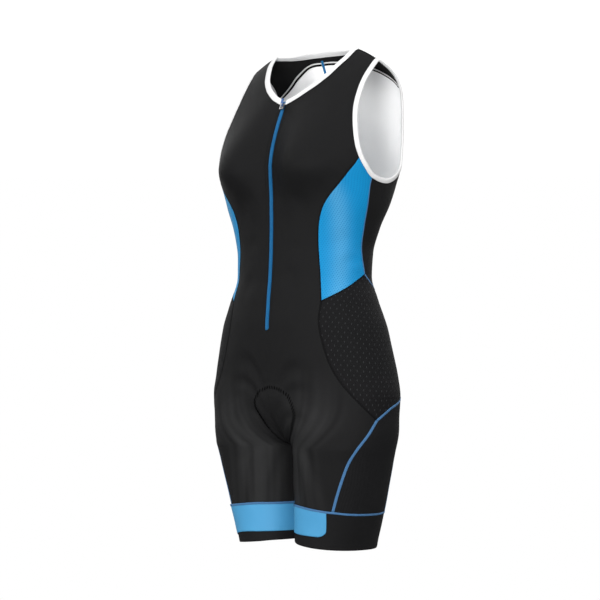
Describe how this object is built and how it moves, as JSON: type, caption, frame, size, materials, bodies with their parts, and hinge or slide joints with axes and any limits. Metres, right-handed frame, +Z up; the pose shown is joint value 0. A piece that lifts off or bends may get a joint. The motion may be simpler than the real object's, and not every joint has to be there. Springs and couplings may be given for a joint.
{
  "type": "cycling suit",
  "caption": "Sleeveless short-legged zip-front cycling suit in black stretch cloth with blue mesh sides, white neck and armhole bindings and blue hem patches, in its worn form with no wearer",
  "frame": {"origin": "midway between the two shoulder seams, at the level of the seams, where the wearer's shoulders hold the suit up", "axes": "+X to the wearer's left, -Y to the wearer's front, +Z up along the body"},
  "size_m": [0.3746, 0.2476, 0.8506],
  "materials": {
    "black_stretch": "matt knitted stretch cloth with a soft sheen",
    "black_mesh": "knitted mesh with small staggered dashes",
    "black_rib": "fine vertical rib knit",
    "black_band": "smooth stretch hem cloth",
    "blue_mesh": "blue knitted mesh",
    "white_binding": "folded stretch binding",
    "blue_tape": "woven tape and zip teeth",
    "blue_patch": "smooth blue stretch cloth",
    "slider_metal": "cast metal slider",
    "tab_paint": "dark blue enamel",
    "seat_pad_cloth": "fleece-faced foam pad"
  },
  "bodies": {
    "suit": {"armhole_binding_L": "white_binding", "armhole_binding_R": "white_binding", "back_panel_L": "black_stretch", "back_panel_R": "black_stretch", "back_tape": "blue_tape", "back_yoke_L": "black_stretch", "back_yoke_R": "black_stretch", "band_patch_L": "blue_patch", "band_patch_R": "blue_patch", "front_panel_L": "black_stretch", "front_panel_R": "black_stretch", "hem_band_L": "black_band", "hem_band_R": "black_band", "hip_panel_L": "black_mesh", "hip_panel_R": "black_mesh", "leg_side_L": "black_rib", "leg_side_R": "black_rib", "neck_binding": "white_binding", "seat_pad": "seat_pad_cloth", "seat_panel_L": "black_stretch", "seat_panel_R": "black_stretch", "side_panel_L": "blue_mesh", "side_panel_R": "blue_mesh", "yoke_edge_L": "black_stretch", "yoke_edge_R": "black_stretch", "yoke_piping_L": "white_binding", "yoke_piping_R": "white_binding", "zip": "blue_tape", "zip_slider": "slider_metal"},
    "pull": {"zip_pull": "tab_paint"}
  },
  "joints": [
    {"name": "pull_hinge", "type": "hinge", "parent": "suit", "child": "pull", "pos_m": [0, -0.08942, -0.08713], "axis": [1, 0, 0], "range_deg": [-4, 150]}
  ]
}
